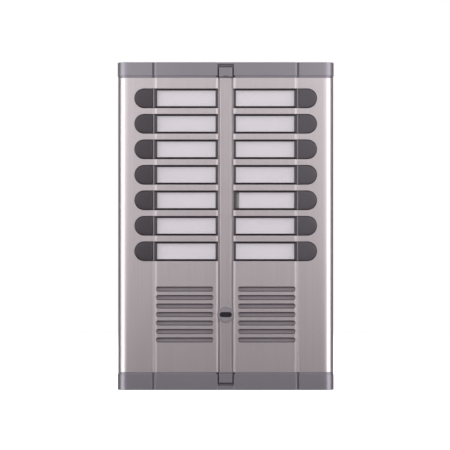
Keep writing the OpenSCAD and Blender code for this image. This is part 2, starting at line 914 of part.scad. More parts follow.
module back_box() {
    closing_z = [profile_top + closing_at, profile_bottom - closing_at];
    wall_holes = [for (x = [-1, 1], z = [-1, 1]) [x * wall_hole_x / 2, z * wall_hole_z / 2]];
    post_lift = well_floor_lift - well_wall - slide_gap;
    color([0.2, 0.2, 0.22]) difference() {
        union() {
            stand(0, floor_t) rect(-panel_w / 2 + flange_in, panel_w / 2 - flange_in,
                                   bottom_z + flange_in, top_z - flange_in);
            stand(floor_t - bit, box_lift) difference() {
                rect(-box_half_w, box_half_w, box_bottom_z, box_top_z);
                rect(-box_half_w + box_wall_t, box_half_w - box_wall_t,
                     box_bottom_z + box_wall_t, box_top_z - box_wall_t);
            }
            for (place = board_screw_places)
                at(place[0], place[1]) stand(floor_t - bit, board_lift)
                    circle(pillar_r, $fn = curve);
            for (z = closing_z)
                at(0, z) stand(floor_t - bit, post_lift) circle(post_r, $fn = curve);
            for (place = wall_holes)
                at(place[0], place[1]) stand(floor_t - bit, floor_t + boss_h)
                    circle(wall_hole_r + boss_wall, $fn = curve);
            // cradle that the loudspeaker drops into
            at_speaker() stand(floor_t - bit, speaker_rim_lift)
                circle(basket_r + cradle_gap + cradle_wall, $fn = curve);
        }
        at_speaker() stand(floor_t, speaker_rim_lift + past) circle(basket_r + cradle_gap, $fn = curve);
        // notch where the loudspeaker's wires leave the cradle
        at_speaker() stand(floor_t, speaker_rim_lift - 10)
            rect(0, basket_r + 3, -wire_notch_half, wire_notch_half);
        for (place = board_screw_places)
            at(place[0], place[1]) stand(floor_t, board_lift + past)
                circle(tapping_r + thread_play, $fn = curve);
        for (z = closing_z)
            at(0, z) stand(floor_t, post_lift + past)
                circle(closing_core_r + thread_play, $fn = curve);
        for (place = wall_holes)
            at(place[0], place[1]) stand(-past, floor_t + boss_h + past)
                circle(wall_hole_r, $fn = curve);
        at(0, cable_z) stand(-past, floor_t + past) circle(cable_r + grommet_wall, $fn = curve);
        stand(-past, gasket_t) gasket_outline(gasket_in);
    }
}

module wall_gasket() {
    color([0.1, 0.1, 0.1]) stand(0, gasket_t) gasket_outline(gasket_in);
}

module cable_grommet() {
    color([0.1, 0.1, 0.1]) at(0, cable_z) {
        stand(slide_gap, floor_t + grommet_flange_t) ring(cable_r + grommet_wall, cable_r);
        stand(floor_t, floor_t + grommet_flange_t) ring(grommet_flange_r, cable_r);
    }
}

// ---- Every node ----

for (side = SIDES, row = [1:rows]) {
    key(side[1], row);
    window(side[1], row);
}
front_profile(LEFT);  // left_front_profile
front_profile(RIGHT);  // right_front_profile
centre_strip();
badge();
top_end_cap();
bottom_end_cap();
top_screw_cover();
bottom_screw_cover();
closing_screws();
tapping_screws();
back_box();
wall_gasket();
cable_grommet();
key_carrier(LEFT);  // left_key_carrier
key_carrier(RIGHT);  // right_key_carrier
key_board(LEFT);  // left_key_board
key_board(RIGHT);  // right_key_board
key_switches();
return_springs();
name_cards();
card_lamps();
terminal_blocks();
speaker_basket();
speaker_cone();
speaker_magnet();
audio_board();
microphone();
microphone_boot();
insect_mesh();
trimmer_bases();
volume_rotor(trimmer_x[0]);  // speaker_volume
volume_rotor(trimmer_x[1]);  // microphone_volume
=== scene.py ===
"""Door intercom panel: the finished pieces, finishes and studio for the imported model."""
import json
import math

import bmesh
import bpy
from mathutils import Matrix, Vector


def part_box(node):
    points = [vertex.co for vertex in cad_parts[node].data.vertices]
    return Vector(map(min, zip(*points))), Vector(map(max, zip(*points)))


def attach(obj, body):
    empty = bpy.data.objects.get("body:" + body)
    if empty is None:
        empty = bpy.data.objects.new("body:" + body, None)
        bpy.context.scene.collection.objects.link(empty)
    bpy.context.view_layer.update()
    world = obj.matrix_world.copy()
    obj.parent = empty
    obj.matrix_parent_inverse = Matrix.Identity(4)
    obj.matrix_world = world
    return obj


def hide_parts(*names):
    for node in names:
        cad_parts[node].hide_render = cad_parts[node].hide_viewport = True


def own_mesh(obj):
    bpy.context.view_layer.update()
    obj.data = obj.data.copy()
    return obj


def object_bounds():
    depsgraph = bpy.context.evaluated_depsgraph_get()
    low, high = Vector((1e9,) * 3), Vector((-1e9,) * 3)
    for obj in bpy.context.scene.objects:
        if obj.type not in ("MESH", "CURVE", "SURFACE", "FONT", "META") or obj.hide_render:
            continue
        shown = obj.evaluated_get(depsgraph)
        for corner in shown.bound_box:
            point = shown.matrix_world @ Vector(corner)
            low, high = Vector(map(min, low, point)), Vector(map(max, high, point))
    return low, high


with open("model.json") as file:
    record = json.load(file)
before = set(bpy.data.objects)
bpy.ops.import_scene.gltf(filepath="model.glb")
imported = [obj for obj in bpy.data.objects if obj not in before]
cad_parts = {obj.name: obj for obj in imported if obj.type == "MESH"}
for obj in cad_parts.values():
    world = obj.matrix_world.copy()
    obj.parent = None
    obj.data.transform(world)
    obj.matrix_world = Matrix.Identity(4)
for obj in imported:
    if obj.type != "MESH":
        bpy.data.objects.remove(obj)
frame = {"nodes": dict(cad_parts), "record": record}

bl_info = {
    "name": "Door intercom panel",
    "version": (1, 0, 0),
    "blender": (4, 5, 0),
    "location": "View3D > Sidebar > Intercom",
    "description": "Builds the pieces and finishes of a wall-mounted door intercom panel",
    "category": "Object",
}

CAD_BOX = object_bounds()
SIDES = {"left": -1, "right": 1}
ROWS = range(1, 8)
MM = 0.001
SQUARE = 0.999  # a face looks straight along an axis when its normal goes at least this far along it
CLOSE = 0.004 * MM  # places this near to each other count as one


def tone(red, green, blue):
    """A colour given as it shows on a screen, 0 to 255, turned into light."""
    return tuple(
        level / 12.92 if level <= 0.04045 else ((level + 0.055) / 1.055) ** 2.4
        for level in (red / 255, green / 255, blue / 255)
    )


def length(name, description, default, low=0.0, high=1.0):
    return bpy.props.FloatProperty(
        name=name, description=description, default=default, min=low, max=high,
        unit="LENGTH", precision=5,
    )


def colour(name, description, default):
    return bpy.props.FloatVectorProperty(
        name=name, description=description, default=default, min=0.0, max=1.0,
        size=3, subtype="COLOR",
    )


# ---- Sizes and colours that a user may change ----


class PanelSizes(bpy.types.PropertyGroup):
    """Small sizes that the finished pieces add to the plain ones"""

    broken_edge: length(
        "Broken edge", "Width of the fine bevel on sawn and punched metal", 0.18 * MM, 0, MM)
    moulded_edge: length(
        "Moulded edge", "Width of the rounding on moulded edges", 0.3 * MM, 0, MM)
    key_edge: length("Key edge", "Rounding of a key's front edge", 0.9 * MM, 0, 2 * MM)
    key_crown: length("Key crown", "How far a key's middle stands over its rim", 0.22 * MM, 0, MM)
    key_flange: length("Key flange", "How far a key's flange stands out", 0.85 * MM, 0, 2 * MM)
    key_flange_thickness: length(
        "Flange thickness", "Thickness of a key's flange", 1.2 * MM, 0, 3 * MM)
    key_height: length("Key height", "From a key's front to its flange's back", 4.7 * MM, 0, 9 * MM)
    key_wall: length("Key wall", "Wall round a key's hollow", 1.2 * MM, 0.5 * MM, 3 * MM)
    key_roof: length("Key roof", "Thickness of a key's front", 1.8 * MM, 0.5 * MM, 3 * MM)
    key_stem: length("Key stem", "Diameter of a key's stem", 4.4 * MM, 2 * MM, 6 * MM)
    window_border_end: length(
        "Inner border", "Printed border at a window's inner end", 1.7 * MM, 0, 5 * MM)
    window_border_outer: length(
        "Outer border", "Plain field at a window's outer end", 3.6 * MM, 0, 6 * MM)
    window_rim_width: length("Rim", "Bare rim at a window's outer end", 1.1 * MM, 0, 3 * MM)
    window_border_long: length(
        "Border along the sides", "Printed border over and under a label", 1.5 * MM, 0, 5 * MM)
    window_wing: length("Window wing", "How far a window's wings stand out", 1.05 * MM, 0, 3 * MM)
    window_wing_thickness: length(
        "Wing thickness", "Thickness of a window's wings", 1.4 * MM, 0, 3 * MM)
    card_pocket: length("Card pocket", "Depth of the pocket behind a window", 0.5 * MM, 0, MM)
    badge_pin: length("Badge pin", "Diameter of the pin behind the badge", 2 * MM, MM, 4 * MM)
    spring_width: length("Spring width", "Outer diameter of a spring", 6.6 * MM, 3 * MM, 9 * MM)
    mesh_pitch: length("Mesh pitch", "Distance from wire to wire", 0.6 * MM, 0.4 * MM, 4 * MM)
    slot_pitch: length("Slot pitch", "From one louvre slot to the next", 7.05 * MM, 5 * MM, 9 * MM)
    spring_wire: length("Spring wire", "Thickness of a spring's wire", 0.45 * MM, 0.1 * MM, MM)


class PanelColours(bpy.types.PropertyGroup):
    """Colours of the finishes"""

    aluminium: colour("Aluminium", "Brushed front profiles", tone(221, 214, 217))
    caps: colour("End caps", "Moulded end caps and covers", tone(157, 153, 162))
    cap_shade: colour("Cap trenches", "Bottoms of the trenches in the caps", tone(112, 108, 116))
    # The two key tones are painted light and shade on one plastic: the right column is painted
    # lighter, the left darker.
    keys: colour("Keys", "Call keys", tone(72, 67, 73))
    keys_painted_lighter: colour("Keys painted lighter", "Call keys on the sunny side", tone(88, 84, 90))
    border: colour("Window border", "Print over and under a label", tone(46, 38, 44))
    window_ends: colour("Window ends", "Print at both ends of a label", tone(84, 80, 86))
    # The rim's light grey is a painted highlight along each window's outer end.
    window_rim_highlight: colour("Window rim highlight", "Bare rim at a window's outer end", tone(150, 146, 152))
    label: colour("Label", "Name cards", tone(198, 193, 200))
    box: colour("Back box", "Moulded back box", tone(52, 52, 56))
    badge: colour("Badge", "Moulded badge", tone(160, 156, 163))
    inlay: colour("Badge inlay", "Dark bar on the badge", tone(40, 38, 42))
    mesh: colour("Mesh", "Woven wire", tone(192, 184, 190))
    rubber: colour("Rubber", "Gasket and grommet", tone(30, 30, 32))
    steel: colour("Steel", "Screws", tone(176, 176, 180))
    circuit_board: colour("Circuit board", "Lacquer of the boards", tone(28, 92, 58))


class PanelStage(bpy.types.PropertyGroup):
    """The studio"""

    camera_distance: length("Camera distance", "From the wall to the camera", 3.0, 0.5, 20)
    view_width: length("View width", "Width of what the camera sees at the front", 0.374, 0.1, 2)
    floor: colour("Floor", "Colour of the floor", tone(250, 250, 250))
    front_light: bpy.props.FloatProperty(
        name="Front light", description="Brightness of the sheet of light in front", default=0.97,
        min=0, max=20)
    front_gap: length(
        "Front light's gap", "Dark gap in the middle of that sheet", 0.13, 0, 1)
    front_edge: bpy.props.FloatProperty(
        name="Front light's edge", description="Height of that sheet's lower edge",
        default=-0.071, min=-1, max=1, unit="LENGTH")
    side_light: bpy.props.FloatProperty(
        name="Side lights", description="Brightness of the sheet of light at each side",
        default=2.1, min=0, max=20)
    back_light: bpy.props.FloatProperty(
        name="Back light", description="Brightness of the sheet of light behind the panel",
        default=2.4, min=0, max=20)
    room: bpy.props.FloatProperty(
        name="Room", description="Brightness of the room that the pieces mirror", default=0.15,
        min=0, max=4)


# ---- Finishes ----


class Value:
    """A socket's number, so that sums of shader values read as plain Python."""

    def __init__(self, finish, socket):
        self.finish = finish
        self.socket = socket

    def result(self, operation, *numbers):
        """What one Math node makes of one or two numbers or values."""
        return self.finish.node(
            "ShaderNodeMath", {"operation": operation}, dict(enumerate(numbers)))["Value"]

    def __add__(self, other):
        return self.result("ADD", self, other)

    __radd__ = __add__

    def __mul__(self, other):
        return self.result("MULTIPLY", self, other)

    __rmul__ = __mul__

    def __sub__(self, other):
        return self.result("SUBTRACT", self, other)

    def __rsub__(self, other):
        return self.result("SUBTRACT", other, self)

    def __truediv__(self, other):
        return self.result("DIVIDE", self, other)

    def __pow__(self, other):
        return self.result("POWER", self, other)

    def __gt__(self, other):
        return self.result("GREATER_THAN", self, other)

    def __lt__(self, other):
        return self.result("LESS_THAN", self, other)

    def __abs__(self):
        return self.result("ABSOLUTE", self)

    def sine(self):
        return self.result("SINE", self)

    def fraction(self):
        return self.result("FRACT", self)

    def rounded(self):
        return self.result("ROUND", self)


class Made:
    """A node that was made, whose outputs are read by name."""

    def __init__(self, finish, node):
        self.finish = finish
        self.node = node

    def __getitem__(self, name):
        return Value(self.finish, self.node.outputs[name])


class Finish:
    """One procedural material, read from a piece's own place."""

    def __init__(self, name):
        self.material = bpy.data.materials.new(name)
        self.material.use_nodes = True
        self.tree = self.material.node_tree
        self.tree.nodes.clear()
        self.place = self.node("ShaderNodeTexCoord")["Object"]

    def node(self, kind, settings=None, inputs=None):
        made = self.tree.nodes.new(kind)
        for name, value in (settings or {}).items():
            if name == "stops":
                self.set_stops(made.color_ramp, value)
            else:
                setattr(made, name, value)
        for name, value in (inputs or {}).items():
            self.feed(made.inputs[name], value)
        return Made(self, made)

    def feed(self, socket, value):
        if isinstance(value, Value):
            self.tree.links.new(value.socket, socket)
        elif socket.type == "RGBA" and len(value) == 3:
            socket.default_value = (*value, 1.0)
        else:
            socket.default_value = value

    @staticmethod
    def set_stops(ramp, stops):
        while len(ramp.elements) < len(stops):
            ramp.elements.new(0.5)
        for element, (place, level) in zip(ramp.elements, stops):
            element.position = place
            element.color = (level, level, level, 1.0)

    def noise(self, scale, detail=2.0, roughness=0.5, distortion=0.0):
        """Soft noise, 0 to 1, with this many cells a metre along X, Y and Z."""
        stretched = self.node("ShaderNodeMapping", {"vector_type": "POINT"},
                              {"Vector": self.place, "Scale": scale})["Vector"]
        return self.node("ShaderNodeTexNoise", {"noise_dimensions": "3D"},
                         {"Vector": stretched, "Scale": 1.0, "Detail": detail,
                          "Roughness": roughness, "Distortion": distortion})["Fac"]

    def cells(self, scale, output="Distance"):
        """Distance from the middles of random cells, or a random colour for each cell."""
        return self.node(
            "ShaderNodeTexVoronoi", None, {"Vector": self.place, "Scale": scale})[output]

    def coordinate(self, axis):
        """One coordinate in metres."""
        return self.node("ShaderNodeSeparateXYZ", None, {0: self.place})[axis]

    def stops(self, value, *stops):
        """value sent through soft steps, each a (from, to) pair."""
        return self.node("ShaderNodeValToRGB", {"stops": stops}, {"Fac": value})["Color"]

    def mix(self, factor, first, second):
        """From the first colour to the second as factor goes from 0 to 1."""
        made = self.node("ShaderNodeMix", {"data_type": "RGBA"}, {0: factor, 6: first, 7: second})
        return Value(self, made.node.outputs[2])

    def bump(self, height, distance, strength=1.0, under=None):
        inputs = {"Height": height, "Distance": distance, "Strength": strength}
        if under is not None:
            inputs["Normal"] = under
        return self.node("ShaderNodeBump", None, inputs)["Normal"]

    def surface(self, **inputs):
        """The shader; what is the same all over is a plain number on it."""
        names = {name.replace("_", " ").title().replace("Ior", "IOR"): value
                 for name, value in inputs.items()}
        shader = self.node("ShaderNodeBsdfPrincipled", None, names)["BSDF"]
        self.node("ShaderNodeOutputMaterial", None, {"Surface": shader})
        return self.material


def scaled(shade, share):
    """The colour with its brightness multiplied by share."""
    return tuple(min(1.0, level * share) for level in shade)


def brushed_metal(name, shade):
    """Metal with fine brush lines that run up the panel."""
    finish = Finish(name)
    roughness = 0.38
    fine = finish.noise((1500, 1500, 9), detail=3.0, roughness=0.7)
    broad = finish.noise((330, 330, 1.98), detail=2.0)
    cloud = finish.noise((22, 22, 14), detail=3.0)
    line = fine * 0.7 + broad * 0.3
    base = finish.mix(line, scaled(shade, 0.86), scaled(shade, 1.12))
    base = finish.mix(cloud * 0.22, base, scaled(shade, 0.86))
    return finish.surface(
        base_color=base, metallic=1.0, roughness=roughness - 0.08 + 0.14 * fine + 0.03 * cloud,
        normal=finish.bump(line, 0.02 * MM, 0.7))


def plain_metal(name, shade, roughness=0.3, grain=700):
    """Plated or pressed metal with a fine unevenness and faint handling marks."""
    finish = Finish(name)
    fine = finish.noise((grain, grain, grain), detail=4.0, roughness=0.6)
    cloud = finish.noise((60, 60, 60), detail=3.0)
    base = finish.mix(fine * 0.4 + cloud * 0.3, shade, scaled(shade, 0.7))
    return finish.surface(
        base_color=base, metallic=1.0, roughness=roughness + 0.16 * cloud - 0.06 * fine,
        normal=finish.bump(fine, 0.02 * MM, 0.6))


def moulded_plastic(name, shade, roughness=0.42, grain=2400, depth=0.03 * MM, metallic=0.0):
    """Moulded plastic with a spark-eroded grain, flow marks and faint scuffs."""
    finish = Finish(name)
    wear = 0.06
    grains = finish.noise((grain, grain, grain), detail=3.0, roughness=0.6)
    pits = finish.cells(grain * 0.55)
    flow = finish.noise((18, 18, 11), detail=3.0, distortion=0.6)
    scuffs = finish.stops(
        finish.noise((90, 90, 420), detail=5.0, roughness=0.7), (0.6, 0.0), (0.72, 1.0))
    base = finish.mix(grains * 0.5 + flow * 0.5, scaled(shade, 0.9), scaled(shade, 1.1))
    base = finish.mix(scuffs * wear, base, scaled(shade, 1.7))
    return finish.surface(
        base_color=base, roughness=roughness - 0.08 + 0.1 * grains + 0.08 * flow + 0.08 * scuffs,
        metallic=metallic, specular_ior_level=0.5,
        normal=finish.bump(grains * 0.6 + pits * 0.4, depth, 0.6))


def soft_rubber(name, shade):
    """Rubber: dark, dull and finely pored."""
    finish = Finish(name)
    pores = finish.cells(900)
    dust = finish.noise((140, 140, 140), detail=4.0)
    base = finish.mix(dust * 0.6, scaled(shade, 0.8), scaled(shade, 1.7))
    return finish.surface(
        base_color=base, roughness=0.78 + 0.12 * dust, specular_ior_level=0.3,
        normal=finish.bump(pores, 0.08 * MM, 0.7))


def card_paper(name, shade):
    """Thick off-white card with fibres and a faint mottle, with a painted glow in place of light
    from behind.
    """
    finish = Finish(name)
    # Painted glow: emission that stands in for light falling on the card from behind.
    painted_glow = 0.5
    fibres = finish.noise((700, 700, 2600), detail=5.0, roughness=0.7, distortion=1.2)
    mottle = finish.noise((55, 55, 55), detail=3.0)
    base = finish.mix(fibres * 0.5 + mottle * 0.5, scaled(shade, 0.93), scaled(shade, 1.05))
    return finish.surface(
        base_color=base, roughness=0.82 + 0.1 * fibres, specular_ior_level=0.25,
        emission_color=base, emission_strength=painted_glow, normal=finish.bump(fibres, 0.015 * MM, 0.5))


def circuit_board(name, shade):
    """Green lacquer over copper tracks, with bare pads."""
    finish = Finish(name)
    track, pad = 0.16, 0.16

    def off_track(axis, tracks_a_metre):
        """Distance from a track's middle, in steps from track to track."""
        return abs((finish.coordinate(axis) * tracks_a_metre).fraction() - 0.5)

    turned = finish.cells(85, output="Color") > 0.45
    tracks = (off_track("X", 420) < track) * turned + (off_track("Z", 300) < track) * (1 - turned)
    pads = finish.cells(240) < pad
    grain = finish.noise((900, 900, 900), detail=2.0)
    lacquer = finish.mix(tracks, shade, scaled(shade, 1.55))
    lacquer = finish.mix(grain * 0.3, lacquer, scaled(shade, 0.8))
    return finish.surface(
        base_color=finish.mix(pads, lacquer, tone(196, 180, 140)),
        metallic=pads * 0.9, roughness=0.32 + 0.1 * grain + 0.1 * pads,
        normal=finish.bump(tracks * 0.6 + pads, 0.03 * MM, 0.8))


def clear_window(name, shade):
    """Clear moulded plastic that is mostly seen through, with hair scratches."""
    finish = Finish(name)
    waves = finish.noise((120, 120, 60), detail=1.0)
    hairs = finish.stops(
        finish.noise((380, 380, 5200), detail=3.0, distortion=0.8), (0.62, 0.0), (0.7, 1.0))
    return finish.surface(
        base_color=finish.mix(hairs, shade, scaled(shade, 0.9)), ior=1.49,
        roughness=0.12 + 0.06 * waves + 0.25 * hairs, alpha=0.13 + 0.05 * hairs,
        normal=finish.bump(waves, 0.05 * MM, 0.2))


def printed_border(name, shade):
    """Screen-printed colour behind clear plastic: glossy, with a faint mottle."""
    finish = Finish(name)
    mottle = finish.noise((260, 260, 260), detail=4.0)
    dust = finish.noise((2200, 2200, 2200), detail=2.0)
    base = finish.mix(mottle * 0.7, scaled(shade, 0.85), scaled(shade, 1.2))
    return finish.surface(
        base_color=base, roughness=0.24 + 0.12 * mottle, specular_ior_level=0.4,
        normal=finish.bump(dust, 0.006 * MM, 0.4))


def wire_cloth(name, shade, step_x, step_z, corner, slot_pitch):
    """Woven wire: crowns bright, gaps dark, and painted shade along the slots' edges."""
    finish = Finish(name)
    across = (finish.coordinate("X") - corner.x) * (math.pi / step_x)
    up = (finish.coordinate("Z") - corner.z) * (math.pi / step_z)
    gaps = abs(across.sine()) * abs(up.sine())
    tarnish = finish.noise((500, 500, 500), detail=4.0)
    base = finish.mix(gaps * 0.8, shade, scaled(shade, 0.25))
    base = finish.mix(tarnish * 0.5, base, scaled(shade, 0.7))
    # Painted shade: the cloth is darker towards each slot's top and bottom edge, where the slot's
    # walls shade it.
    slot = (finish.coordinate("Z") - middle("badge").z) / slot_pitch
    off_middle = abs(slot - slot.rounded())
    dust = finish.stops(off_middle, (0.1, 0.0), (0.27, 1.0))
    base = finish.mix(dust * 0.85, base, scaled(shade, 0.2))
    return finish.surface(
        base_color=base, metallic=0.5, roughness=0.45 + 0.2 * tarnish,
        normal=finish.bump(tarnish, 0.02 * MM, 0.5))


def cone_paper(name, shade):
    """Pressed paper with rings about the loudspeaker's middle."""
    finish = Finish(name)
    centre = middle("speaker_cone")
    across = finish.coordinate("X") - centre.x
    up = finish.coordinate("Z") - centre.z
    rings = ((across * across + up * up) ** 0.5 * 5200).sine()
    fibres = finish.noise((1500, 1500, 1500), detail=4.0, roughness=0.7)
    base = finish.mix(fibres, scaled(shade, 0.7), scaled(shade, 1.5))
    return finish.surface(
        base_color=base, roughness=0.85, specular_ior_level=0.2,
        normal=finish.bump(rings * 0.4 + fibres, 0.06 * MM, 0.8))


# ---- Work in the 3D view ----


def deselect():
    if bpy.context.object and bpy.context.object.mode != "OBJECT":
        bpy.ops.object.mode_set(mode="OBJECT")
    bpy.ops.object.select_all(action="DESELECT")


def take(piece):
    """Makes piece the only one that operators act on."""
    deselect()
    piece.select_set(True)
    bpy.context.view_layer.objects.active = piece
    return piece


def started(name):
    """The primitive that was just added, under its piece's name."""
    piece = bpy.context.object
    piece.name = name
    piece.data.name = name
    return piece


def pick(piece, kind, test):
    """In edit mode, selects only the faces, edges or vertices whose middle passes the test."""
    shape = bmesh.from_edit_mesh(piece.data)
    bpy.ops.mesh.select_mode(type=kind)
    for element in (*shape.verts, *shape.edges, *shape.faces):
        element.select = False
    if kind == "FACE":
        for face in shape.faces:
            if test(face.calc_center_median(), face.normal):
                face.select_set(True)
    elif kind == "EDGE":
        for edge in shape.edges:
            if test(*(vertex.co for vertex in edge.verts)):
                edge.select_set(True)
    else:
        for vertex in shape.verts:
            if test(vertex.co):
                vertex.select_set(True)
    shape.select_flush_mode()
    bmesh.update_edit_mesh(piece.data)


def apply(piece, kind, **settings):
    """Adds a modifier and applies it."""
    take(piece)
    modifier = piece.modifiers.new(kind.title(), kind)
    for name, value in settings.items():
        setattr(modifier, name, value)
    bpy.ops.object.modifier_apply(modifier=modifier.name)


def settle(piece):
    """Puts a piece's place into its mesh and leaves its object at the origin."""
    take(piece)
    bpy.ops.object.transform_apply(location=True, rotation=True, scale=True)


def smooth(piece, angle=30):
    take(piece)
    bpy.ops.object.shade_smooth_by_angle(angle=math.radians(angle))


def paint(piece, *materials):
    piece.data.materials.clear()
    for material in materials:
        piece.data.materials.append(material)
    return piece


def put(piece, body, slot, *nodes):
    """Joins a finished piece to its body and hides the plain nodes it stands for; the material slot
    is not used.
    """
    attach(piece, body)
    if nodes:
        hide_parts(*nodes)
    return piece


def merged(node, name):
    """A piece that starts as the CAD node's own shape, with its triangles joined up."""
    piece = bpy.data.objects.new(name, frame["nodes"][node].data.copy())
    bpy.context.scene.collection.objects.link(piece)
    take(piece)
    bpy.ops.object.mode_set(mode="EDIT")
    bpy.ops.mesh.select_all(action="SELECT")
    bpy.ops.mesh.customdata_custom_splitnormals_clear()
    bpy.ops.mesh.remove_doubles(threshold=0.002 * MM)
    bpy.ops.mesh.dissolve_limited(angle_limit=math.radians(0.4), delimit=set())
    bpy.ops.object.mode_set(mode="OBJECT")
    return piece


def break_edges(piece, width, segments=2):
    """A fine bevel on every sharp edge."""
    angle = 12
    smooth(piece, angle)
    apply(piece, "BEVEL", width=width, segments=segments, limit_method="ANGLE",
          angle_limit=math.radians(angle), use_clamp_overlap=False, harden_normals=True,
          miter_outer="MITER_ARC")
    return piece


def near(first, second):
    return abs(first - second) < CLOSE


def copied(master, name, sign):
    """A copy of a finished master with its own mesh; sign -1 mirrors it for the left side."""
    piece = bpy.data.objects.new(name, master.data.copy())
    bpy.context.scene.collection.objects.link(piece)
    if sign < 0:
        piece.scale = (-1, 1, 1)
        settle(piece)
        bpy.ops.object.mode_set(mode="EDIT")
        bpy.ops.mesh.select_all(action="SELECT")
        bpy.ops.mesh.normals_make_consistent(inside=False)
        bpy.ops.object.mode_set(mode="OBJECT")
    return piece


def middle(node):
    low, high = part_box(node)
    return (low + high) / 2


# ---- Pieces ----


class Piece(bpy.types.Operator):
    """One piece, or one group of like pieces"""

    bl_options = {"REGISTER", "UNDO"}

    @property
    def sizes(self):
        return bpy.context.scene.panel_sizes

    @property
    def colours(self):
        return bpy.context.scene.panel_colours


class AddProfiles(Piece):
    """Brushed aluminium front profiles and the centre strip, with their sawn edges broken"""

    bl_idname = "intercom.profiles"
    bl_label = "Front profiles"

    def execute(self, context):
        metal = brushed_metal("brushed_aluminium", self.colours.aluminium)
        # The next two are lighter and darker copies of the aluminium: painted highlight on the
        # chamfers, painted shade in the grooves.
        bright = brushed_metal("chamfer_highlight_metal", scaled(self.colours.aluminium, 1.03))
        dull = brushed_metal("shaded_groove_metal", scaled(self.colours.aluminium, 0.68))
        strip = brushed_metal("strip_metal", scaled(self.colours.aluminium, 0.92))
        for node in ("left_front_profile", "right_front_profile", "centre_strip"):
            piece = merged(node, node + "_brushed")
            break_edges(piece, self.sizes.broken_edge)
            paint(piece, strip if node == "centre_strip" else metal, bright, dull)
            self.part_faces(piece)
            put(piece, "housing", "brushed_aluminium", node)
        return {"FINISHED"}

    def part_faces(self, piece):
        """The chamfers take a brighter copy of the metal, a painted highlight, and the grooves a
        darker one, a painted shade.
        """
        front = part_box("left_front_profile")[0].y
        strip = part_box("centre_strip")[0].y
        back = strip + 2 * MM
        outer_groove, round_side, groove_depth = 59 * MM, 70 * MM, 0.6 * MM
        cut, groove_shade = 1, 2
        for face in piece.data.polygons:
            across, deep = abs(face.center.x), face.center.y
            if face.normal.y > -0.5 or deep > back or across > round_side:
                continue
            # Chamfer faces take the painted highlight; groove faces take the painted shade.
            if 0.1 < abs(face.normal.x) < 0.5:
                face.material_index = cut
            elif deep > strip + MM or (across > outer_groove and deep > front + groove_depth):
                face.material_index = groove_shade


class AddEndCaps(Piece):
    """Moulded end caps with soft edges, and the two small covers over the closing screws"""

    bl_idname = "intercom.end_caps"
    bl_label = "End caps"

    def execute(self, context):
        plastic = moulded_plastic(
            "cap_plastic", self.colours.caps, roughness=0.32, depth=0.01 * MM, metallic=0.5)
        # A darker copy of the cap plastic: painted shade for the trench bottoms and seams.
        shaded = moulded_plastic("cap_trench_shade", self.colours.cap_shade)
        for node in ("top_end_cap", "bottom_end_cap", "top_screw_cover", "bottom_screw_cover"):
            piece = merged(node, node + "_moulded")
            break_edges(piece, self.sizes.moulded_edge, segments=3)
            paint(piece, plastic, shaded)
            if node.endswith("cap"):
                self.shade_trenches(piece)
            put(piece, "housing", "cap_plastic", node)
        return {"FINISHED"}

    def shade_trenches(self, cap):
        """Painted shade on the bottoms of the trenches, around the covers and along the seams."""
        below_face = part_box("left_front_profile")[0].y + 0.5 * MM
        back = -30 * MM
        trench_end, seam_start, seam_end = 10 * MM, 59 * MM, 62 * MM
        for face in cap.data.polygons:
            across = abs(face.center.x)
            if face.normal.y < -0.7 and below_face < face.center.y < back:
                if across < trench_end or seam_start < across < seam_end:
                    face.material_index = 1


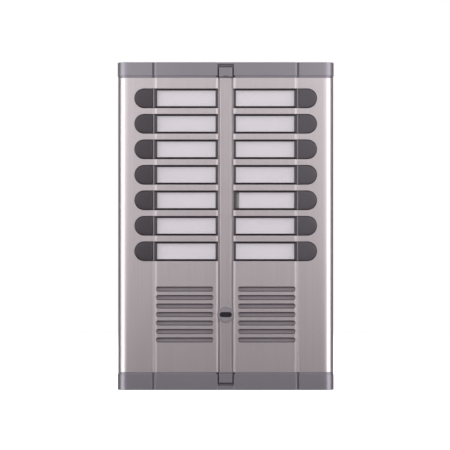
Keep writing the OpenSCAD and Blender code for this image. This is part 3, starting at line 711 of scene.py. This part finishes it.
class AddKeys(Piece):
    """Call keys: crowned, hollow behind, with a retaining flange and a stem"""

    bl_idname = "intercom.keys"
    bl_label = "Call keys"

    def execute(self, context):
        # The right column takes a lighter copy of the key plastic: painted light.
        plastics = {
            side: moulded_plastic("key_plastic_" + side, shade, roughness=0.36)
            for side, shade in (("left", self.colours.keys), ("right", self.colours.keys_painted_lighter))}
        master = self.make_master("key_right_1")
        for side, sign in SIDES.items():
            for row in ROWS:
                node = f"key_{side}_{row}"
                low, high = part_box(node)
                key = copied(master, node + "_moulded", sign)
                paint(key, plastics[side])
                key.location = (0, low.y, (low.z + high.z) / 2)
                settle(key)
                put(key, node, "key_plastic", node)
        bpy.data.objects.remove(master)
        return {"FINISHED"}

    def make_master(self, node):
        """A key of the right column with its front at Y = 0 and its middle at Z = 0."""
        sizes = self.sizes
        low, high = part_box(node)
        flange, crown, base = sizes.key_flange, sizes.key_crown, sizes.key_height
        radius = (high.z - low.z) / 2 - flange
        stem_x = high.x - flange - radius
        stem_end, stem_edge = high.y - low.y, 0.35 * MM
        stem_root = sizes.key_roof - 0.2 * MM
        crown_steps = (0.55, 1.0 * MM), (0.33, 1.3 * MM), (0.12, 1.6 * MM)
        bpy.ops.mesh.primitive_circle_add(
            vertices=72, radius=radius, fill_type="NGON",
            location=(stem_x, crown, 0), rotation=(math.radians(90), 0, 0))
        key = started("key")
        settle(key)
        bpy.ops.object.mode_set(mode="EDIT")
        # the round end, then a straight stretch to the flat side
        bpy.ops.mesh.select_all(action="SELECT")
        bpy.ops.mesh.bisect(plane_co=(stem_x, 0, 0), plane_no=(1, 0, 0), clear_inner=True)
        pick(key, "EDGE", lambda a, b: near(a.x, stem_x) and near(b.x, stem_x))
        bpy.ops.mesh.extrude_region_move(
            TRANSFORM_OT_translate={"value": (low.x - stem_x, 0, 0)})
        pick(key, "EDGE", lambda a, b: near(a.x, stem_x) and near(b.x, stem_x))
        bpy.ops.mesh.dissolve_edges(use_verts=True)
        # the skirt, with a rounded front rim
        bpy.ops.mesh.select_all(action="SELECT")
        bpy.ops.mesh.extrude_region_move(TRANSFORM_OT_translate={"value": (0, base - crown, 0)})
        bpy.ops.mesh.select_all(action="SELECT")
        bpy.ops.mesh.normals_make_consistent(inside=False)
        pick(key, "EDGE", lambda a, b: near(a.y, crown) and near(b.y, crown))
        bpy.ops.mesh.bevel(offset=sizes.key_edge, segments=5, affect="EDGES")
        # the crown, in steps of so much of its height after so much of its width
        pick(key, "FACE", lambda place, normal: normal.y < -SQUARE and place.y < base / 2)
        for share, width in crown_steps:
            bpy.ops.mesh.inset(thickness=width)
            bpy.ops.transform.translate(value=(0, -share * crown, 0))
        # the flange that keeps the key in its cut-out
        step = base - sizes.key_flange_thickness
        bpy.ops.mesh.select_all(action="SELECT")
        bpy.ops.mesh.bisect(plane_co=(0, step, 0), plane_no=(0, 1, 0))
        pick(key, "FACE", lambda place, normal: place.y > step and abs(normal.y) < 0.1
             and normal.x > -0.5)
        bpy.ops.mesh.extrude_region_shrink_fatten(
            TRANSFORM_OT_shrink_fatten={"value": -flange, "use_even_offset": True})
        # the hollow, and the stem in it
        pick(key, "FACE", lambda place, normal: normal.y > SQUARE and place.y > step + 0.1 * MM
             and abs(place.z) < 0.2 * MM)
        bpy.ops.mesh.inset(thickness=sizes.key_wall)
        bpy.ops.mesh.extrude_region_move(
            TRANSFORM_OT_translate={"value": (0, sizes.key_roof - base, 0)})
        bpy.ops.mesh.primitive_circle_add(
            vertices=40, radius=sizes.key_stem / 2, fill_type="NGON",
            location=(stem_x, stem_root, 0), rotation=(math.radians(90), 0, 0))
        bpy.ops.mesh.extrude_region_move(
            TRANSFORM_OT_translate={"value": (0, stem_end - stem_root, 0)})
        pick(key, "EDGE", lambda a, b: near(a.y, stem_end) and near(b.y, stem_end))
        bpy.ops.mesh.bevel(offset=stem_edge, segments=3, affect="EDGES")
        bpy.ops.mesh.select_all(action="SELECT")
        bpy.ops.mesh.normals_make_consistent(inside=False)
        bpy.ops.object.mode_set(mode="OBJECT")
        smooth(key, 38)
        return key


class AddWindows(Piece):
    """Clear windows over the name cards, with a printed border and a card pocket behind"""

    bl_idname = "intercom.windows"
    bl_label = "Windows"

    def execute(self, context):
        clear = clear_window("window_clear", tone(245, 245, 245))
        border = printed_border("window_border", self.colours.border)
        ends = printed_border("window_ends", self.colours.window_ends)
        # Light grey for the outer rim: a painted highlight.
        rim = printed_border("window_rim_highlight", self.colours.window_rim_highlight)
        master = self.make_master("window_right_1", (clear, border, ends, rim))
        for side, sign in SIDES.items():
            for row in ROWS:
                node = f"window_{side}_{row}"
                low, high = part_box(node)
                window = copied(master, node + "_moulded", sign)
                window.location = (0, low.y, (low.z + high.z) / 2)
                settle(window)
                put(window, "housing", "window_clear", node)
        bpy.data.objects.remove(master)
        return {"FINISHED"}

    def make_master(self, node, materials):
        """A window of the right column with its face at Y = 0 and its middle at Z = 0."""
        sizes = self.sizes
        low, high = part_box(node)
        wing = sizes.window_wing
        half = (high.z - low.z) / 2 - wing
        depth = high.y - low.y
        long, end, outer = (
            sizes.window_border_long, sizes.window_border_end, sizes.window_border_outer)
        face_edge, pocket_wall = 0.25 * MM, 0.7 * MM
        wing_ends = low.x + 3.2 * MM, high.x - 5.5 * MM
        rim_x = high.x - sizes.window_rim_width
        bpy.ops.mesh.primitive_cube_add(size=1, location=((low.x + high.x) / 2, depth / 2, 0))
        window = started("window")
        window.scale = (high.x - low.x, depth, 2 * half)
        settle(window)
        bpy.ops.object.mode_set(mode="EDIT")
        # a rounded face edge, then the border round the clear field
        pick(window, "EDGE", lambda a, b: near(a.y, 0) and near(b.y, 0))
        bpy.ops.mesh.bevel(offset=face_edge, segments=3, affect="EDGES")
        pick(window, "FACE", lambda place, normal: normal.y < -SQUARE)
        bpy.ops.mesh.inset(thickness=long - face_edge)
        pick(window, "VERT", lambda co: near(co.y, 0) and near(co.x, low.x + long))
        bpy.ops.transform.translate(value=(end - long, 0, 0))
        pick(window, "VERT", lambda co: near(co.y, 0) and near(co.x, high.x - long))
        bpy.ops.transform.translate(value=(long - outer, 0, 0))
        bpy.ops.mesh.select_all(action="SELECT")
        bpy.ops.mesh.bisect(plane_co=(rim_x, 0, 0), plane_no=(1, 0, 0))
        # the wings that the profile holds down
        wing_y = depth - sizes.window_wing_thickness
        bpy.ops.mesh.select_all(action="SELECT")
        bpy.ops.mesh.bisect(plane_co=(0, wing_y, 0), plane_no=(0, 1, 0))
        for wing_end in wing_ends:
            bpy.ops.mesh.select_all(action="SELECT")
            bpy.ops.mesh.bisect(plane_co=(wing_end, 0, 0), plane_no=(1, 0, 0))
        for way in (-1, 1):
            pick(window, "FACE", lambda place, normal: normal.z * way > SQUARE
                 and place.y > wing_y and wing_ends[0] < place.x < wing_ends[1])
            bpy.ops.mesh.extrude_region_move(
                TRANSFORM_OT_translate={"value": (0, 0, way * wing)})
        # the pocket for the card
        pick(window, "FACE", lambda place, normal: normal.y > SQUARE and abs(place.z) < half / 2)
        bpy.ops.mesh.inset(thickness=pocket_wall)
        bpy.ops.mesh.extrude_region_move(
            TRANSFORM_OT_translate={"value": (0, -sizes.card_pocket, 0)})
        bpy.ops.mesh.select_all(action="SELECT")
        bpy.ops.mesh.normals_make_consistent(inside=False)
        bpy.ops.object.mode_set(mode="OBJECT")
        paint(window, *materials)
        border, ends, rim = 1, 2, 3
        for face in window.data.polygons:
            place = face.center
            if face.normal.y > -0.5 or place.y > wing_y:
                continue
            if place.x > rim_x:
                face.material_index = rim
            elif abs(place.z) > half - long:
                face.material_index = border
            elif not low.x + end < place.x < high.x - outer:
                face.material_index = ends
        smooth(window, 35)
        return window


class AddBadge(Piece):
    """Round badge with a rolled rim, a fine ring and a plain dark inlay in place of any mark"""

    bl_idname = "intercom.badge"
    bl_label = "Badge"

    def execute(self, context):
        low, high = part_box("badge")
        radius = (high.x - low.x) / 2
        place = middle("badge")
        bpy.ops.mesh.primitive_circle_add(
            vertices=96, radius=radius, fill_type="NGON",
            location=(0, low.y, place.z), rotation=(math.radians(90), 0, 0))
        badge = started("badge_moulded")
        settle(badge)
        thickness = 1 * MM
        rolled_edge, rim, step, ring = 0.35 * MM, 0.45 * MM, 0.1 * MM, 0.4 * MM
        ring_depth, field_lift = 0.35 * MM, 0.3 * MM
        bpy.ops.object.mode_set(mode="EDIT")
        bpy.ops.mesh.select_all(action="SELECT")
        bpy.ops.mesh.extrude_region_move(TRANSFORM_OT_translate={"value": (0, thickness, 0)})
        bpy.ops.mesh.select_all(action="SELECT")
        bpy.ops.mesh.normals_make_consistent(inside=False)
        pick(badge, "EDGE", lambda a, b: near(a.y, low.y) and near(b.y, low.y))
        bpy.ops.mesh.bevel(offset=rolled_edge, segments=4, affect="EDGES")
        # the fine ring
        pick(badge, "FACE", lambda spot, normal: normal.y < -SQUARE)
        for flat, move in ((rim, ring_depth), (ring, -field_lift)):
            bpy.ops.mesh.inset(thickness=flat)
            bpy.ops.mesh.inset(thickness=step)
            bpy.ops.transform.translate(value=(0, move, 0))
        # the pin behind
        pick(badge, "FACE", lambda spot, normal: normal.y > SQUARE)
        bpy.ops.mesh.inset(thickness=radius - self.sizes.badge_pin / 2)
        bpy.ops.mesh.extrude_region_move(
            TRANSFORM_OT_translate={"value": (0, high.y - low.y - thickness, 0)})
        bpy.ops.object.mode_set(mode="OBJECT")
        smooth(badge, 35)
        materials = (moulded_plastic("badge_plastic", self.colours.badge, roughness=0.34),
                     printed_border("badge_inlay", self.colours.inlay))
        paint(badge, *materials)
        field_y = low.y + ring_depth - field_lift
        inlay = self.make_inlay(field_y, place.z, materials)
        take(badge)
        inlay.select_set(True)
        bpy.ops.object.join()
        put(badge, "housing", "cap_plastic", "badge")
        return {"FINISHED"}

    def make_inlay(self, face_y, place_z, materials):
        """A plain round-ended bar let into the face, a touch proud of it."""
        spread, radius, proud, thickness = 2.9 * MM, 2.2 * MM, 0.03 * MM, 0.3 * MM
        bpy.ops.mesh.primitive_circle_add(
            vertices=48, radius=radius, fill_type="NGON",
            location=(0, face_y - proud, place_z), rotation=(math.radians(90), 0, 0))
        inlay = started("inlay")
        settle(inlay)
        bpy.ops.object.mode_set(mode="EDIT")
        for way in (-1, 1):
            pick(inlay, "VERT", lambda co: co.x * way > 0.01 * MM)
            bpy.ops.transform.translate(value=(way * spread, 0, 0))
        bpy.ops.mesh.select_all(action="SELECT")
        bpy.ops.mesh.extrude_region_move(TRANSFORM_OT_translate={"value": (0, thickness, 0)})
        bpy.ops.mesh.select_all(action="SELECT")
        bpy.ops.mesh.normals_make_consistent(inside=False)
        bpy.ops.object.mode_set(mode="OBJECT")
        paint(inlay, *materials)
        for face in inlay.data.polygons:
            face.material_index = 1
        return inlay


class AddSprings(Piece):
    """Coiled return springs behind the keys; here they keep one shape and do not shorten as the keys
    go in
    """

    bl_idname = "intercom.springs"
    bl_label = "Return springs"

    def execute(self, context):
        low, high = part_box("return_springs")
        wire, radius = self.sizes.spring_wire, self.sizes.spring_width / 2
        tall = high.y - low.y
        master = self.make_master(radius - wire / 2, wire, tall)
        paint(master, plain_metal("spring_steel", tone(180, 178, 172), 0.22))
        for side, sign in SIDES.items():
            for row in ROWS:
                key = f"key_{side}_{row}"
                spring = copied(master, f"return_spring_{side}_{row}", sign)
                spring.location = (sign * (high.x - radius), low.y, middle(key).z)
                settle(spring)
                put(spring, "housing", "spring_steel", "return_springs")
                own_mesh(spring)
        bpy.data.objects.remove(master)
        return {"FINISHED"}

    def make_master(self, radius, wire, tall):
        """One spring along Y from the origin."""
        turns, steps = 6, 20
        bpy.ops.mesh.primitive_circle_add(
            vertices=8, radius=wire / 2, fill_type="NOTHING", location=(radius, wire / 2, 0))
        spring = started("spring")
        settle(spring)
        apply(spring, "SCREW", axis="Y", screw_offset=(tall - wire) / turns, iterations=turns,
              steps=steps, render_steps=steps, use_normal_calculate=True)
        bpy.ops.object.mode_set(mode="EDIT")
        bpy.ops.mesh.select_all(action="SELECT")
        bpy.ops.mesh.fill_holes(sides=0)
        bpy.ops.mesh.select_all(action="SELECT")
        bpy.ops.mesh.normals_make_consistent(inside=False)
        bpy.ops.object.mode_set(mode="OBJECT")
        smooth(spring, 60)
        return spring


class AddMesh(Piece):
    """Fine woven wire cloth behind the louvres, which keeps insects off the loudspeaker"""

    bl_idname = "intercom.mesh"
    bl_label = "Insect mesh"

    def execute(self, context):
        pitch = self.sizes.mesh_pitch
        low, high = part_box("insect_mesh")
        across, up = (int(size / pitch) for size in (high.x - low.x, high.z - low.z))
        bpy.ops.mesh.primitive_grid_add(
            x_subdivisions=across, y_subdivisions=up, size=1, location=middle("insect_mesh"),
            rotation=(math.radians(90), 0, 0))
        cloth = started("insect_mesh_woven")
        cloth.scale = (high.x - low.x, high.z - low.z, 1)
        settle(cloth)
        # wires pass over and under each other, cell by cell
        relief, sheet = (high.y - low.y) * 0.3, (high.y - low.y) * 0.35
        step_x, step_z = (high.x - low.x) / across, (high.z - low.z) / up
        bpy.ops.object.mode_set(mode="EDIT")
        for turn, way in ((0, -1), (1, 1)):
            pick(cloth, "VERT", lambda co: round((co.x - low.x) / step_x)
                 % 2 == (round((co.z - low.z) / step_z) + turn) % 2)
            bpy.ops.transform.translate(value=(0, way * relief, 0))
        # the two sheets are apart in the middle
        inner = min(abs(vertex.co.x) for vertex in frame["nodes"]["insect_mesh"].data.vertices)
        pick(cloth, "FACE", lambda spot, normal: abs(spot.x) < inner)
        bpy.ops.mesh.delete(type="FACE")
        bpy.ops.object.mode_set(mode="OBJECT")
        apply(cloth, "SOLIDIFY", thickness=sheet, offset=0)
        smooth(cloth, 80)
        paint(cloth, wire_cloth(
            "mesh_grey", self.colours.mesh, step_x, step_z, low, self.sizes.slot_pitch))
        put(cloth, "housing", "mesh_grey", "insect_mesh")
        return {"FINISHED"}


class AddStage(Piece):
    """Pale floor, soft studio lights and the camera"""

    bl_idname = "intercom.stage"
    bl_label = "Studio"

    def execute(self, context):
        settings = context.scene.panel_stage
        below, floor_radius = CAD_BOX[0][2] - 0.2 * MM, 1.6
        deselect()
        bpy.ops.mesh.primitive_circle_add(
            vertices=96, radius=floor_radius, fill_type="NGON", location=(0, 0, below))
        floor = started("floor")
        settle(floor)
        finish = Finish("floor_paint")
        dust = finish.noise((40, 40, 40), detail=3.0)
        paint(floor, finish.surface(
            base_color=finish.mix(dust, scaled(settings.floor, 0.98), settings.floor[:]),
            roughness=0.7 + 0.1 * dust, emission_color=(*settings.floor, 1.0),
            emission_strength=0.8))
        floor.visible_glossy = floor.visible_diffuse = False
        self.light_room(context.scene, settings)
        self.add_lights(settings)
        self.add_camera(context.scene, settings)
        return {"FINISHED"}

    def light_room(self, scene, settings):
        """A white room to look at, and a dimmer one for the pieces to mirror."""
        world = bpy.data.worlds.new("room")
        world.use_nodes = True
        tree = world.node_tree
        tree.nodes.clear()
        seen = tree.nodes.new("ShaderNodeBackground")
        seen.inputs["Color"].default_value = (1, 1, 1, 1)
        mirrored = tree.nodes.new("ShaderNodeBackground")
        mirrored.inputs["Color"].default_value = (1.0, 0.84, 0.88, 1)
        mirrored.inputs["Strength"].default_value = settings.room
        path = tree.nodes.new("ShaderNodeLightPath")
        mixed = tree.nodes.new("ShaderNodeMixShader")
        output = tree.nodes.new("ShaderNodeOutputWorld")
        tree.links.new(path.outputs["Is Camera Ray"], mixed.inputs[0])
        tree.links.new(mirrored.outputs[0], mixed.inputs[1])
        tree.links.new(seen.outputs[0], mixed.inputs[2])
        tree.links.new(mixed.outputs[0], output.inputs["Surface"])
        scene.world = world
        scene.view_settings.view_transform = "Standard"

    def add_light(self, name, place, target, size, brightness):
        """A sheet of light, as bright to look at as it says, that the camera looks through."""
        light = bpy.data.lights.new(name, "AREA")
        light.shape = "RECTANGLE"
        light.size, light.size_y = size
        light.energy = brightness * math.pi * size[0] * size[1]
        lamp = bpy.data.objects.new(name, light)
        lamp.location = place
        lamp.rotation_euler = (Vector(target) - Vector(place)).to_track_quat("-Z", "Y").to_euler()
        lamp.visible_camera = False
        bpy.context.scene.collection.objects.link(lamp)

    def add_lights(self, settings):
        wide, tall, away = 0.75, 1.5, 0.75
        height = settings.front_edge + tall / 2
        for side, sign in SIDES.items():
            across = sign * (settings.front_gap + wide) / 2
            self.add_light(side + "_front_light", (across, -away, height), (across, 0, height),
                           (wide, tall), settings.front_light)
        for side, sign in SIDES.items():
            place, target = (sign * 0.85, -0.35, 0.1), (0, -0.02, 0.05)
            self.add_light(side + "_light", place, target, (0.7, 1.0), settings.side_light)
        place, target = (0, 1.1, 0.7), (0, 0, 0)
        self.add_light("back_light", place, target, (1.6, 1.0), settings.back_light)

    def add_camera(self, scene, settings):
        front = CAD_BOX[0][1]
        away, aim_x, aim_z = settings.camera_distance, -0.6 * MM, 0.9 * MM
        camera = bpy.data.cameras.new("camera")
        camera.sensor_width = 36
        camera.lens = camera.sensor_width * (away + front) / settings.view_width
        camera.clip_end = 20
        rig = bpy.data.objects.new("camera", camera)
        rig.location = (aim_x, -away, aim_z)
        rig.rotation_euler = (math.radians(90), 0, 0)
        scene.collection.objects.link(rig)
        scene.camera = rig


class AddInside(Piece):
    """Finishes of the inner pieces, whose plain shape is already right"""

    bl_idname = "intercom.inside"
    bl_label = "Box, boards and speech unit"

    def execute(self, context):
        colours = self.colours
        black = tone(34, 33, 36)
        finishes = {
            "box_plastic": moulded_plastic(
                "box_plastic", colours.box, 0.5, grain=1600, depth=0.06 * MM),
            "carrier_plastic": moulded_plastic("carrier_plastic", black, 0.5),
            "black_rubber": soft_rubber("black_rubber", colours.rubber),
            "screw_steel": plain_metal("screw_steel", colours.steel),
            "circuit_board": circuit_board("circuit_board", colours.circuit_board),
            "lamp_plastic": moulded_plastic("lamp_plastic", tone(232, 226, 205), 0.25),
            "terminal_plastic": moulded_plastic("terminal_plastic", tone(96, 128, 104), 0.4),
            "trimmer_plastic": moulded_plastic("trimmer_plastic", tone(46, 74, 122), 0.4),
            "rotor_plastic": moulded_plastic("rotor_plastic", tone(220, 216, 204), 0.4),
            "basket_steel": plain_metal("basket_steel", tone(150, 150, 154), 0.36),
            "cone_paper": cone_paper("cone_paper", black),
            "magnet_iron": plain_metal("magnet_iron", tone(110, 110, 116), 0.42, grain=420),
            "microphone_can": plain_metal("microphone_can", tone(190, 188, 186), 0.26),
            "card_paper": card_paper("card_paper", colours.label),
        }
        for part in frame["record"]["subparts"]:
            node = frame["nodes"][part["node"]]
            if not node.hide_render:
                paint(node, finishes[part["material_slot"]])
        return {"FINISHED"}


PIECES = (AddProfiles, AddEndCaps, AddBadge, AddKeys, AddWindows, AddSprings, AddMesh,
          AddInside, AddStage)


class IntercomPanel(bpy.types.Panel):
    """Lists the pieces and the sizes and colours behind them"""

    bl_idname = "VIEW3D_PT_intercom"
    bl_label = "Door intercom panel"
    bl_space_type = "VIEW_3D"
    bl_region_type = "UI"
    bl_category = "Intercom"

    def draw(self, context):
        layout = self.layout
        for piece in PIECES:
            layout.operator(piece.bl_idname)
        for name in ("panel_sizes", "panel_colours", "panel_stage"):
            group = getattr(context.scene, name)
            column = layout.column(align=True)
            for key in group.bl_rna.properties.keys():
                if key not in {"rna_type", "name"}:
                    column.prop(group, key)


GROUPS = {"panel_sizes": PanelSizes, "panel_colours": PanelColours, "panel_stage": PanelStage}


def register():
    for name, group in GROUPS.items():
        bpy.utils.register_class(group)
        setattr(bpy.types.Scene, name, bpy.props.PointerProperty(type=group))
    for piece in PIECES:
        bpy.utils.register_class(piece)
    bpy.utils.register_class(IntercomPanel)


def unregister():
    bpy.utils.unregister_class(IntercomPanel)
    for piece in reversed(PIECES):
        bpy.utils.unregister_class(piece)
    for name, group in GROUPS.items():
        delattr(bpy.types.Scene, name)
        bpy.utils.unregister_class(group)


def main():
    register()
    for piece in PIECES:
        group, name = piece.bl_idname.split(".")
        getattr(getattr(bpy.ops, group), name)()
    deselect()


if __name__ == "__main__":
    main()
